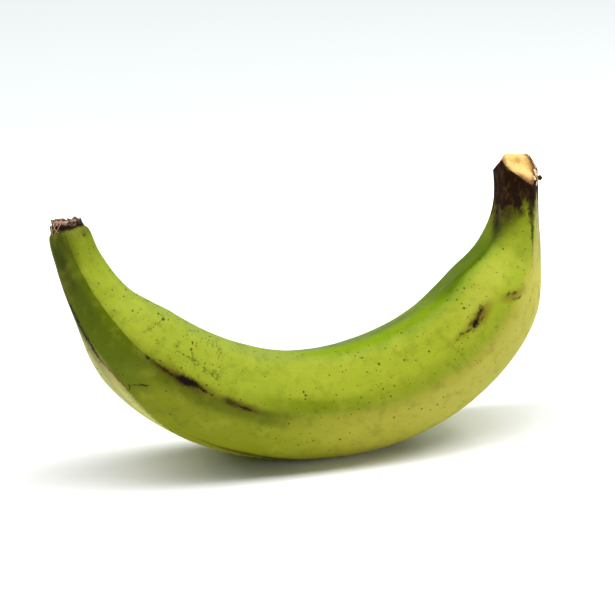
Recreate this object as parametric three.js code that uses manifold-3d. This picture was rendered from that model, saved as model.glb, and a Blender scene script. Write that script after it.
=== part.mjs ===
// A green plantain, picked and lying on a table: one grown piece, from the dried blossom scar
// to the stem where it was cut off the hand.
//
// Millimetres and degrees. +X runs from the blossom end to the stem end, +Z is up, and the
// fruit rests on the outside of its curve, on the peel's lower facet, leaning back towards +Y.
// The origin is at the bottom centre of the fruit's bounding box.
//
// The body is a sweep. A centreline, a Bezier curve in one plane, carries a rounded
// five-sided section whose corners are the peel's five ridges.

import * as THREE from "three";
import { mergeVertices } from "three/addons/utils/BufferGeometryUtils.js";
import Module from "manifold-3d";

// Centreline, as control points in the plane of the curve: [along X, up]. It starts at the
// blossom end and stops at the middle of the stem's cut.
const SPINE = [
  [-95.8, 43.3],
  [-82.3, -36.4],
  [-5.6, -65.2],
  [100.5, -43.8],
  [96.1, 52.1],
];
const LEAN = 14; // the plane of the curve tips back by this much

// Mean radius of the section: [share of the centreline's length, radius]. The peel's shoulder
// rolls in over the first few millimetres.
const GIRTH = [
  [0.0, 6.1],
  [0.008, 6.5],
  [0.012, 7.5],
  [0.02, 8.1],
  [0.05, 8.8],
  [0.12, 12.5],
  [0.16, 16.7],
  [0.2, 19.8],
  [0.32, 22.4],
  [0.45, 22.8],
  [0.58, 23.5],
  [0.7, 22.5],
  [0.8, 19.9],
  [0.87, 13.1],
  [0.93, 9.1],
  [1.0, 8.9],
];

// The ridges, as angles round the section: 0 faces front (-Y), 90 the inside of the curve.
// Each one drifts a little near the two ends of the fruit.
const RIDGES = [
  { tip: 58, body: 56, neck: 50 }, // upper front
  { tip: -14, body: -4, neck: -26 }, // lower front
  { tip: -74, body: -66, neck: -84 }, // front edge of the facet that it rests on
  { tip: -142, body: -142, neck: -150 }, // back edge of that facet
  { tip: 135, body: 135, neck: 128 }, // upper back
];
const TIP_ZONE = 0.16; // the blossom end's angles fade out by here
const NECK_ZONE = [0.8, 0.94]; // the neck's angles fade in over this stretch
const CRISPNESS = { tip: 8, body: 7, neck: 9 }; // higher gives sharper ridges, flatter facets

// Blossom end: a crust of dried flower stands on the scar inside the shoulder, with a hollow
// top. [distance beyond the centreline's start, radius]
const CRUST = [
  [0.7, 6.0],
  [1.2, 5.4],
  [1.3, 4.4],
  [0.3, 2.6],
];

// Stem: a slanted knife cut, whose highest part broke away along two smaller faces. Each face
// crosses the stem's axis this far past the centreline's end. Its normal is tilted from the
// axis, towards an angle round the section.
const STEM_CUTS = [
  { past: 1.8, tilt: 54, towards: -33 },
  { past: 3.3, tilt: 10, towards: -120 },
  { past: 7.4, tilt: 48, towards: 114 },
];
const STEM_SPARE = 16; // length of neck past the centreline's end, for the cuts to remove

const REST_DEPTH = 0.4; // how deep the flat where the fruit rests is pressed into the peel

const RING_SIDES = 40;
const SHOULDER_SHARES = [0, 0.008, 0.011]; // extra rings where the shoulder rolls in
const BODY_RINGS = 62; // evenly spaced rings from there on
const PEEL = new THREE.MeshStandardMaterial({
  name: "peel",
  color: 0xa0aa2d,
  roughness: 0.5,
  metalness: 0,
});

const radians = THREE.MathUtils.degToRad;
const smoothstep = (x, low, high) => THREE.MathUtils.smoothstep(x, low, high);

// A point of the Bezier curve with these control points, by de Casteljau's construction.
function bezier(points, t) {
  let row = points.map(([x, y]) => new THREE.Vector2(x, y));
  while (row.length > 1) {
    row = row.slice(1).map((point, i) => row[i].clone().lerp(point, t));
  }
  return row[0];
}

// Cubic Hermite curve through [x, y] stations, with each slope taken from the neighbours.
function along(stations, x) {
  const last = stations.length - 1;
  const slope = (i) => {
    const [x0, y0] = stations[Math.max(i - 1, 0)];
    const [x1, y1] = stations[Math.min(i + 1, last)];
    return (y1 - y0) / (x1 - x0);
  };
  let i = 0;
  while (i < last - 1 && x > stations[i + 1][0]) i += 1;
  const [x0, y0] = stations[i];
  const [x1, y1] = stations[i + 1];
  const span = x1 - x0;
  const t = (x - x0) / span;
  const held = (1 + 2 * t) * (1 - t) ** 2 * y0 + t * t * (3 - 2 * t) * y1;
  const sloped = t * (1 - t) ** 2 * slope(i) + t * t * (t - 1) * slope(i + 1);
  return held + sloped * span;
}

// A value that is one thing at the tip, another in the body and another at the neck.
function drift({ tip, body, neck }, share) {
  const atTip = 1 - smoothstep(share, 0, TIP_ZONE);
  const atNeck = smoothstep(share, ...NECK_ZONE);
  return body + (tip - body) * atTip + (neck - body) * atNeck;
}

// Radii of a rounded polygon, one for each side of a ring, with a mean of 1. Each facet lies
// midway between two ridges, and a high power of the facets' reach blends them into one line.
function sectionRadii(share) {
  const corners = RIDGES.map((ridge) => drift(ridge, share)).sort((a, b) => a - b);
  const facets = corners.map((corner, i) => {
    const next = corners[i + 1] ?? corners[0] + 360;
    return { normal: radians((corner + next) / 2), reach: Math.cos(radians((next - corner) / 2)) };
  });
  const power = drift(CRISPNESS, share);
  const radii = ringAngles().map((angle) => {
    const pulls = facets.map(({ normal, reach }) => Math.max(0, Math.cos(angle - normal)) / reach);
    return pulls.reduce((sum, pull) => sum + pull ** power, 0) ** (-1 / power);
  });
  const mean = radii.reduce((sum, radius) => sum + radius, 0) / radii.length;
  return radii.map((radius) => radius / mean);
}

function ringAngles() {
  return Array.from({ length: RING_SIDES }, (_, i) => ((i + 0.5) / RING_SIDES) * 2 * Math.PI);
}

// Stations on the centreline at these shares of its length, in order from the start.
function centreline(shares) {
  const fine = 800;
  const points = Array.from({ length: fine + 1 }, (_, i) => bezier(SPINE, i / fine));
  const lengths = [0];
  points.slice(1).forEach((point, i) => lengths.push(lengths[i] + point.distanceTo(points[i])));
  const total = lengths[fine];
  let k = 0;
  return shares.map((share) => {
    while (k < fine - 1 && lengths[k + 1] < share * total) k += 1;
    const t = (share * total - lengths[k]) / (lengths[k + 1] - lengths[k]);
    const place = points[k].clone().lerp(points[k + 1], t);
    const ahead = points[k + 1].clone().sub(points[k]).normalize();
    return station(share, place, ahead);
  });
}

// One station: its place in space and the axes of its section. The curve's plane leans back.
function station(share, place, ahead) {
  const up = new THREE.Vector3(0, Math.sin(radians(LEAN)), Math.cos(radians(LEAN)));
  const spread = (x, y) => new THREE.Vector3(x, 0, 0).addScaledVector(up, y);
  return {
    share,
    centre: spread(place.x, place.y),
    tangent: spread(ahead.x, ahead.y),
    inside: spread(-ahead.y, ahead.x),
    front: new THREE.Vector3(0, -Math.cos(radians(LEAN)), Math.sin(radians(LEAN))),
  };
}

function ringAt({ centre, front, inside }, radii, radius) {
  return ringAngles().map((angle, i) =>
    centre
      .clone()
      .addScaledVector(front, Math.cos(angle) * radii[i] * radius)
      .addScaledVector(inside, Math.sin(angle) * radii[i] * radius),
  );
}

// A closed skin over rings that run one after another, with a point at each end.
function loft(start, rings, end) {
  const corners = [start, ...rings.flat(), end];
  const index = [];
  const at = (ring, side) => 1 + ring * RING_SIDES + (side % RING_SIDES);
  const last = rings.length - 1;
  for (let side = 0; side < RING_SIDES; side += 1) {
    index.push(0, at(0, side), at(0, side + 1));
    index.push(corners.length - 1, at(last, side + 1), at(last, side));
    for (let ring = 0; ring < last; ring += 1) {
      const [a, b] = [at(ring, side), at(ring, side + 1)];
      const [c, d] = [at(ring + 1, side + 1), at(ring + 1, side)];
      index.push(a, c, b, a, d, c);
    }
  }
  return new THREE.BufferGeometry().setFromPoints(corners).setIndex(index);
}

// The same station moved this far along the centreline's tangent.
function moved(at, distance) {
  return { ...at, centre: at.centre.clone().addScaledVector(at.tangent, distance) };
}

// The whole fruit before it is cut: crust, peel, and a spare length of neck.
function uncutFruit() {
  const body = Array.from({ length: BODY_RINGS }, (_, i) => (i + 1) / BODY_RINGS);
  const stations = centreline([...SHOULDER_SHARES, ...body]);
  const peel = stations.map((at) => ringAt(at, sectionRadii(at.share), along(GIRTH, at.share)));

  const tip = stations[0];
  const crust = CRUST.map(([out, radius]) => ringAt(moved(tip, -out), sectionRadii(0), radius));
  const crustMiddle = moved(tip, -CRUST.at(-1)[0]).centre;

  const spare = moved(stations.at(-1), STEM_SPARE);
  const spareRing = ringAt(spare, sectionRadii(1), along(GIRTH, 1));
  return loft(crustMiddle, [...crust.reverse(), ...peel, spareRing], spare.centre);
}

// A block with one face on a plane, centred on this point of it, and its bulk past the plane.
function blockPast(point, normal, side) {
  const turn = new THREE.Quaternion().setFromUnitVectors(new THREE.Vector3(0, 0, 1), normal);
  const centre = point.clone().addScaledVector(normal, side / 2);
  const box = new THREE.BoxGeometry(side, side, side);
  return box.applyQuaternion(turn).translate(centre.x, centre.y, centre.z);
}

// What one face of the stem's cut removes.
function stemOffcut({ past, tilt, towards }) {
  const [stem] = centreline([1]);
  const sideways = new THREE.Vector3()
    .addScaledVector(stem.front, Math.cos(radians(towards)))
    .addScaledVector(stem.inside, Math.sin(radians(towards)));
  const normal = new THREE.Vector3()
    .addScaledVector(stem.tangent, Math.cos(radians(tilt)))
    .addScaledVector(sideways, Math.sin(radians(tilt)));
  return blockPast(moved(stem, past).centre, normal, 4 * STEM_SPARE);
}

// What the table takes from the bottom, so that the fruit rests on a small flat.
function restOffcut(geometry) {
  const box = new THREE.Box3().setFromBufferAttribute(geometry.getAttribute("position"));
  const size = box.getSize(new THREE.Vector3());
  const point = box.getCenter(new THREE.Vector3()).setZ(box.min.z + REST_DEPTH);
  return blockPast(point, new THREE.Vector3(0, 0, -1), size.x);
}

const wasm = await Module();
wasm.setup();

function toSolid(geometry) {
  const bare = geometry.clone();
  bare.deleteAttribute("normal");
  bare.deleteAttribute("uv");
  const merged = mergeVertices(bare, 1e-4);
  return new wasm.Manifold(
    new wasm.Mesh({
      numProp: 3,
      vertProperties: merged.getAttribute("position").array,
      triVerts: new Uint32Array(merged.index.array),
    }),
  );
}

function toGeometry(solid) {
  const mesh = solid.getMesh();
  const geometry = new THREE.BufferGeometry();
  geometry.setAttribute("position", new THREE.BufferAttribute(mesh.vertProperties, 3));
  geometry.setIndex(new THREE.BufferAttribute(mesh.triVerts, 1));
  geometry.computeVertexNormals();
  return geometry;
}

// The fruit with its stem cut and its resting flat pressed in, set down on z = 0.
function fruit() {
  const uncut = uncutFruit();
  const offcuts = [...STEM_CUTS.map(stemOffcut), restOffcut(uncut)];
  const solid = offcuts.reduce((rest, offcut) => rest.subtract(toSolid(offcut)), toSolid(uncut));
  const geometry = toGeometry(solid);
  geometry.computeBoundingBox();
  const { min, max } = geometry.boundingBox;
  return geometry.translate(-(min.x + max.x) / 2, -(min.y + max.y) / 2, -min.z);
}

const group = new THREE.Group();
const plantain = new THREE.Mesh(fruit(), PEEL);
plantain.name = "plantain";
group.add(plantain);

export default group;
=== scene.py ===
"""A green plantain, whole and unpeeled: its looks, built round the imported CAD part.

The peel is a sweep, as in the CAD part and by the same formula, at a grain fine enough for its
ridges, wrinkles and dents. The cut of the stem and the dried flower at the tip are pieces of
their own. Sizes in the classes are millimetres and degrees, and the meshes are in metres.
"""

import logging
import math
import random
from collections.abc import Sequence
from dataclasses import dataclass, field
from enum import Enum
from typing import ClassVar

import bpy
import numpy as np
from mathutils import Matrix, Vector, noise


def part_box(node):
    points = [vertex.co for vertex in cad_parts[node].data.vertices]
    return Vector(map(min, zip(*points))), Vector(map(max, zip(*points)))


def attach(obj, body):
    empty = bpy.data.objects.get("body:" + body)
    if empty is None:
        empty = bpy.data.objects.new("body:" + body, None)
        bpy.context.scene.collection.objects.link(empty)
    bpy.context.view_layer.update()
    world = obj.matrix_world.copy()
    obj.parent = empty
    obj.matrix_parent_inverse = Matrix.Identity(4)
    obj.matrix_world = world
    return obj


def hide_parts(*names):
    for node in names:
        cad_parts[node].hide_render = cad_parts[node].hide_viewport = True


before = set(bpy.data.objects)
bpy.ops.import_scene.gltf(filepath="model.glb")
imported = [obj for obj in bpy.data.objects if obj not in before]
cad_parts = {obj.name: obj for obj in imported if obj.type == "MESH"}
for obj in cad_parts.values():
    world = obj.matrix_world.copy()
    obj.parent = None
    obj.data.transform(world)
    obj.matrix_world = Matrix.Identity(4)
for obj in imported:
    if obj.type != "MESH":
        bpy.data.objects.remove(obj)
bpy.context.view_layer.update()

log = logging.getLogger("plantain")

MM = 0.001
NODE = "plantain"
BODY = "root"

Colour = tuple[float, float, float]


def smoothstep(values: np.ndarray, low: float, high: float) -> np.ndarray:
    """Ease from 0 at low to 1 at high.

    Args:
        values: Where to evaluate it.
        low: Where the step starts.
        high: Where the step ends.

    Returns:
        An array of the same shape, between 0 and 1.
    """
    t = np.clip((values - low) / (high - low), 0.0, 1.0)
    return t * t * (3.0 - 2.0 * t)


def fractal(points: np.ndarray, grain: float, octaves: int, seed: int) -> np.ndarray:
    """Smooth repeatable noise in space.

    Args:
        points: Places in millimetres, the last axis holding x, y and z.
        grain: Size of the largest lumps, in millimetres.
        octaves: How many finer layers to add.
        seed: Which part of the noise to use.

    Returns:
        One value for each place, mostly from -1 to 1.
    """
    flat = (points.reshape(-1, 3) / grain + 31.7 * seed).tolist()
    values = [noise.fractal(p, 0.9, 2.0, octaves) for p in flat]
    return np.array(values).reshape(points.shape[:-1])


# ------------------------------------------------------------------ form


@dataclass(frozen=True)
class Drift:
    """A value that eases from one size at the tip to others along the body and the neck."""

    tip: float
    body: float
    neck: float

    TIP_ZONE: ClassVar[float] = 0.16
    NECK_ZONE: ClassVar[tuple[float, float]] = (0.80, 0.94)

    def at(self, share: np.ndarray) -> np.ndarray:
        """Find the value along the fruit.

        Args:
            share: Shares of the length.

        Returns:
            The value at each of them.
        """
        at_tip = 1.0 - smoothstep(share, 0.0, self.TIP_ZONE)
        at_neck = smoothstep(share, *self.NECK_ZONE)
        return self.body + (self.tip - self.body) * at_tip + (self.neck - self.body) * at_neck


class Ridge(Enum):
    """The peel's ridges, in order round the section, by the angle that each one runs at."""

    LOWER_FRONT = Drift(-14, -4, -26)
    UPPER_FRONT = Drift(58, 56, 50)
    UPPER_BACK = Drift(135, 135, 128)
    REST_BACK = Drift(218, 218, 210)
    REST_FRONT = Drift(286, 294, 276)

    @property
    def turn(self) -> float:
        """Where this ridge runs once the ridges are drawn straight along the fruit."""
        return RIDGE_TURNS[self.name]


RIDGE_TURNS = {
    "LOWER_FRONT": 0.0,
    "UPPER_FRONT": 60.0,
    "UPPER_BACK": 135.0,
    "REST_BACK": 220.0,
    "REST_FRONT": 290.0,
}


@dataclass
class FruitForm:
    """The plain form that the CAD part has: a centreline with a five-sided section.

    A place on it is a share of the centreline's length, 0 at the blossom end, and an angle
    round the section, 0 facing front and 90 the inside of the curve.

    The spine's points are a least-squares fit's output, rounded to 0.1 mm, and twelve of the
    girths began as the same fit's output. They weren't worked out from driving dimensions.

    Attributes:
        spine: The centreline's control points in the plane of the curve, along x and up.
        girth: The section's mean radius at shares of the length.
        crispness: Higher gives sharper ridges and flatter facets.
        lean: How far the plane of the curve tips back.
        rest_depth: How deep the flat that the fruit rests on is pressed into the peel.
        scar_slant: How much further out the blossom scar lies outside the curve than inside it.
        length: The centreline's length.
        front: The direction that an angle of 0 faces.
        up: The direction up in the plane of the curve.
        across: The direction from the blossom end to the stem end.
        origin: What to add to the form's own places to stand it where the part stands.
    """

    spine: Sequence[tuple[float, float]] = (
        (-95.8, 43.3),
        (-82.3, -36.4),
        (-5.6, -65.2),
        (100.5, -43.8),
        (96.1, 52.1),
    )
    girth: Sequence[tuple[float, float]] = (
        (0.0, 6.1),
        (0.008, 6.5),
        (0.012, 7.5),
        (0.02, 8.1),
        (0.05, 8.8),
        (0.12, 12.5),
        (0.16, 16.7),
        (0.2, 19.8),
        (0.32, 22.4),
        (0.45, 22.8),
        (0.58, 23.5),
        (0.7, 22.5),
        (0.8, 19.9),
        (0.87, 13.1),
        (0.93, 9.1),
        (1.0, 8.9),
    )
    crispness: Drift = Drift(8, 7, 9)
    lean: float = 14.0
    rest_depth: float = 0.4
    scar_slant: float = 2.0
    length: float = field(init=False)
    front: np.ndarray = field(init=False)
    up: np.ndarray = field(init=False)
    across: np.ndarray = field(init=False)
    origin: np.ndarray = field(init=False)

    def __post_init__(self) -> None:
        """Trace the centreline once and find where the form stands in the part's frame."""
        lean = math.radians(self.lean)
        self.front = np.array([0.0, -math.cos(lean), math.sin(lean)])
        self.up = np.array([0.0, math.sin(lean), math.cos(lean)])
        self.across = np.array([1.0, 0.0, 0.0])
        self._trace()
        self._level_sections()
        self.origin = np.zeros(3)
        self.origin = self._settle()

    def _trace(self) -> None:
        """Walk the Bezier curve in small steps and keep its length, places and directions."""
        points = np.array(self.spine)
        degree = len(points) - 1
        t = np.linspace(0.0, 1.0, 2001)[:, None]
        row = [np.repeat(point[None, :], len(t), 0) for point in points]
        while len(row) > 1:
            ends = row
            row = [a + (b - a) * t for a, b in zip(row, row[1:])]
        ahead = (ends[1] - ends[0]) * degree
        ahead /= np.linalg.norm(ahead, axis=1)[:, None]
        steps = np.linalg.norm(np.diff(row[0], axis=0), axis=1)
        run = np.concatenate([[0.0], np.cumsum(steps)])
        self.length = float(run[-1])
        self._walk = (run / run[-1], row[0], ahead)

    def _level_sections(self) -> None:
        """Find the factor that gives each section a mean radius of 1."""
        share = np.linspace(0.0, 1.0, 161)
        angle = np.linspace(0.0, 360.0, 180, endpoint=False)
        self._mean = (share, np.ones(len(share)))
        raw = self.profile(share[:, None] + 0 * angle, angle + 0 * share[:, None])
        self._mean = (share, raw.mean(axis=1))

    def _settle(self) -> np.ndarray:
        """Match this form to the CAD solid's box.

        Returns:
            What to add to the form's own places, in millimetres.
        """
        share, angle = np.meshgrid(
            np.linspace(0.01, 0.95, 300), np.arange(0.0, 360.0, 2.0), indexing="ij"
        )
        points = self.place(share, angle).reshape(-1, 3)
        low, high = points.min(0), points.max(0)
        cad_low, cad_high = (np.array(corner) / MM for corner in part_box(NODE))
        across = (cad_low + cad_high - low - high)[0] / 2
        return np.array([across, cad_low[1] - low[1], cad_low[2] - low[2] - self.rest_depth])

    def profile(self, share: np.ndarray, angle: np.ndarray) -> np.ndarray:
        """The rounded five-sided section.

        Args:
            share: Shares of the length.
            angle: Angles round the section.

        Returns:
            Radii, with a mean of 1 round each section.
        """
        corners = [ridge.value.at(share) for ridge in Ridge]
        power = self.crispness.at(share)
        total = np.zeros(np.broadcast(share, angle).shape)
        for corner, following in zip(corners, [*corners[1:], corners[0] + 360.0]):
            reach = np.cos(np.radians(following - corner) / 2)
            turned = np.cos(np.radians(angle - (corner + following) / 2))
            total += (np.maximum(turned, 0.0) / reach) ** power
        return total ** (-1 / power) / np.interp(share, *self._mean)

    def girth_at(self, share: np.ndarray) -> np.ndarray:
        """Mean radius of the section, on a smooth curve through the girth's stations.

        Args:
            share: Shares of the length.

        Returns:
            Radii in millimetres.
        """
        x, y = np.array(self.girth).T
        slope = np.empty(len(x))
        slope[1:-1] = (y[2:] - y[:-2]) / (x[2:] - x[:-2])
        slope[[0, -1]] = (y[[1, -1]] - y[[0, -2]]) / (x[[1, -1]] - x[[0, -2]])
        share = np.clip(share, 0.0, 1.0)
        i = np.clip(np.searchsorted(x, share, side="right") - 1, 0, len(x) - 2)
        span = x[i + 1] - x[i]
        t = (share - x[i]) / span
        held = (1 + 2 * t) * (1 - t) ** 2 * y[i] + t * t * (3 - 2 * t) * y[i + 1]
        sloped = t * (1 - t) ** 2 * slope[i] + t * t * (t - 1) * slope[i + 1]
        return held + sloped * span

    def axes(self, share: np.ndarray) -> tuple[np.ndarray, np.ndarray, np.ndarray]:
        """The centreline's places and directions, which run on straight past both ends.

        Args:
            share: Shares of the length.

        Returns:
            The centre, the tangent and the inside direction at each of them.
        """
        walked, places, ahead = self._walk
        within = np.clip(share, 0.0, 1.0)
        x, y, dx, dy = (np.interp(within, walked, a) for a in (*places.T, *ahead.T))
        tangent = dx[..., None] * self.across + dy[..., None] * self.up
        inside = -dy[..., None] * self.across + dx[..., None] * self.up
        centre = x[..., None] * self.across + y[..., None] * self.up
        centre = centre + tangent * ((share - within) * self.length)[..., None]
        return centre, tangent, inside

    def radius(self, share: np.ndarray, angle: np.ndarray) -> np.ndarray:
        """Distance from the centreline to the plain peel."""
        return self.girth_at(share) * self.profile(np.clip(share, 0.0, 1.0), angle)

    def place(
        self, share: np.ndarray, angle: np.ndarray, radius: np.ndarray | None = None
    ) -> np.ndarray:
        """Places in the part's frame.

        Args:
            share: Shares of the length.
            angle: Angles round the section.
            radius: Distances from the centreline. The plain peel's own if left out.

        Returns:
            Places in millimetres, with x, y and z on the last axis.
        """
        if radius is None:
            radius = self.radius(share, angle)
        centre, _, inside = self.axes(share)
        turn = np.radians(angle)[..., None]
        return (
            self.origin
            + centre
            + radius[..., None] * (np.cos(turn) * self.front + np.sin(turn) * inside)
        )

    def turn(self, share: np.ndarray, angle: np.ndarray) -> np.ndarray:
        """Angles measured so that every ridge keeps the same one from the tip to the stem.

        Args:
            share: Shares of the length.
            angle: Angles round the section, from -180 to 180.

        Returns:
            Angles of the same size, with 0 on the lower front ridge.
        """
        laps = [(ridge, lap) for lap in (-360.0, 0.0) for ridge in Ridge]
        turn = laps[0][0].turn + laps[0][1] + 0.0 * angle
        for (low, low_lap), (high, high_lap) in zip(laps, laps[1:]):
            start = low.value.at(share) + low_lap
            end = high.value.at(share) + high_lap
            passed = np.clip((angle - start) / (end - start), 0.0, 1.0)
            turn = turn + passed * (high.turn + high_lap - low.turn - low_lap)
        return turn

    def scar_rise(self, angle: np.ndarray) -> np.ndarray:
        """How much further out the blossom scar lies on the outside of the curve."""
        return self.scar_slant * (1 - np.sin(np.radians(angle))) / 2

    def unbent(self, share: np.ndarray, angle: np.ndarray) -> np.ndarray:
        """The same places with the fruit straightened out, so that grain can follow it."""
        radius, turn = self.radius(share, angle), np.radians(angle)
        return np.stack(
            [share * self.length + 0 * radius, radius * np.cos(turn), radius * np.sin(turn)], -1
        )


# ------------------------------------------------------------------ meshes


@dataclass
class Loft:
    """Rings of points that close into one skin, with a point in the middle of each end.

    Attributes:
        rings: Places in millimetres, as (ring, side, xyz).
        start: The point that closes the first ring.
        end: The point that closes the last ring.
    """

    rings: np.ndarray
    start: np.ndarray
    end: np.ndarray

    @classmethod
    def capped(cls, rings: Sequence[np.ndarray]) -> "Loft":
        """A skin whose ends close in the middle of its first and last rings."""
        rings = np.array(rings)
        return cls(rings, rings[0].mean(0), rings[-1].mean(0))

    def faces(self) -> list[tuple[int, ...]]:
        """List the skin's faces.

        Returns:
            Corner numbers of each face: those at the start, all the rings', those at the end.
        """
        count, sides = self.rings.shape[:2]
        at = np.arange(count * sides).reshape(count, sides)
        beside = np.roll(at, -1, axis=1)
        first, last = count * sides, count * sides + 1
        quads = np.stack([at[:-1], at[1:], beside[1:], beside[:-1]], -1).reshape(-1, 4)
        return [
            *((first, a, b) for a, b in zip(at[0].tolist(), beside[0].tolist())),
            *map(tuple, quads.tolist()),
            *((last, b, a) for a, b in zip(at[-1].tolist(), beside[-1].tolist())),
        ]

    def points(self) -> np.ndarray:
        """All places, in the order that the faces count them."""
        return np.vstack([self.rings.reshape(-1, 3), self.start, self.end])

    def corner_values(self, values: np.ndarray) -> np.ndarray:
        """Spread ring values over the faces' corners.

        Args:
            values: One vector for each ring and side, with the first side repeated at the end
                of each ring, so that an angle can run on past a full turn.

        Returns:
            One vector for each corner, in the faces' order.
        """
        a, b = values[:, :-1], values[:, 1:]
        quads = np.stack([a[:-1], a[1:], b[1:], b[:-1]], 2).reshape(-1, values.shape[-1])
        caps = []
        for near, far in ((a[0], b[0]), (b[-1], a[-1])):
            caps.append(np.stack([(near + far) / 2, near, far], 1).reshape(-1, values.shape[-1]))
        return np.vstack([caps[0], quads, caps[1]])


def make_piece(
    name: str,
    points: np.ndarray,
    faces: Sequence[Sequence[int]],
    material: bpy.types.Material,
    smooth: bool = True,
) -> bpy.types.Object:
    """Make one piece of the fruit and let it ride on the fruit's body.

    Args:
        name: The piece's name.
        points: Places in millimetres.
        faces: Corner numbers of each face.
        material: What it is made of.
        smooth: Whether its faces shade into each other.

    Returns:
        The new object.
    """
    mesh = bpy.data.meshes.new(name)
    mesh.from_pydata((points * MM).tolist(), [], faces)
    mesh.polygons.foreach_set("use_smooth", [smooth] * len(mesh.polygons))
    mesh.materials.append(material)
    mesh.validate()
    piece = bpy.data.objects.new(name, mesh)
    bpy.context.scene.collection.objects.link(piece)
    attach(piece, BODY)
    log.info("%s: %d faces", name, len(mesh.polygons))
    return piece


def build_shells(
    name: str, shells: Sequence[Loft], material: bpy.types.Material
) -> bpy.types.Object:
    """Make one piece out of several closed skins.

    Args:
        name: The piece's name.
        shells: The skins.
        material: What they are made of.

    Returns:
        The new object.
    """
    points: list[np.ndarray] = []
    faces: list[tuple[int, ...]] = []
    for shell in shells:
        first = sum(len(p) for p in points)
        points.append(shell.points())
        faces.extend(tuple(first + i for i in face) for face in shell.faces())
    return make_piece(name, np.vstack(points), faces, material)


def add_values(mesh: bpy.types.Mesh, name: str, domain: str, values: np.ndarray) -> None:
    """Store values on a mesh for its material to read.

    Args:
        mesh: Where they go.
        name: What the material asks for.
        domain: POINT or CORNER.
        values: One number or one vector for each point or corner.
    """
    vector = values.ndim == 2
    kind, key = ("FLOAT_VECTOR", "vector") if vector else ("FLOAT", "value")
    layer = mesh.attributes.new(name, kind, domain)
    layer.data.foreach_set(key, values.astype(np.float32).ravel())


# ------------------------------------------------------------------ shader graph


class Signal:
    """An output of a material's node, on which Python's arithmetic adds Math nodes."""

    def __init__(self, graph: "Graph", socket: bpy.types.NodeSocket) -> None:
        """Wrap one socket.

        Args:
            graph: The material's graph.
            socket: The output that this signal stands for.
        """
        self.graph = graph
        self.socket = socket

    def __add__(self, other: "Signal | float") -> "Signal":
        """Sum."""
        return self.graph.math("ADD", self, other)

    __radd__ = __add__

    def __mul__(self, other: "Signal | float") -> "Signal":
        """Product."""
        return self.graph.math("MULTIPLY", self, other)

    __rmul__ = __mul__

    def __sub__(self, other: "Signal | float") -> "Signal":
        """Difference."""
        return self.graph.math("SUBTRACT", self, other)

    def __rsub__(self, other: float) -> "Signal":
        """Difference from a number."""
        return self.graph.math("SUBTRACT", other, self)

    def __or__(self, other: "Signal | float") -> "Signal":
        """Whichever is larger: the union of two masks."""
        return self.graph.math("MAXIMUM", self, other)

    __ror__ = __or__

    def step(self, low: float, high: float) -> "Signal":
        """Ease from 0 at low to 1 at high.

        Args:
            low: Where the step starts.
            high: Where the step ends. It may be the smaller of the two.

        Returns:
            The eased signal.
        """
        settings = {"interpolation_type": "SMOOTHSTEP"}
        if low > high:
            return 1 - self.step(high, low)
        return self.graph.node("ShaderNodeMapRange", settings, {0: self, 1: low, 2: high})

    def between(self, low: float, high: float, soft: float) -> "Signal":
        """1 between low and high, with soft edges that wide on both sides."""
        return self.step(low - soft, low + soft) * self.step(high + soft, high - soft)


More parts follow.
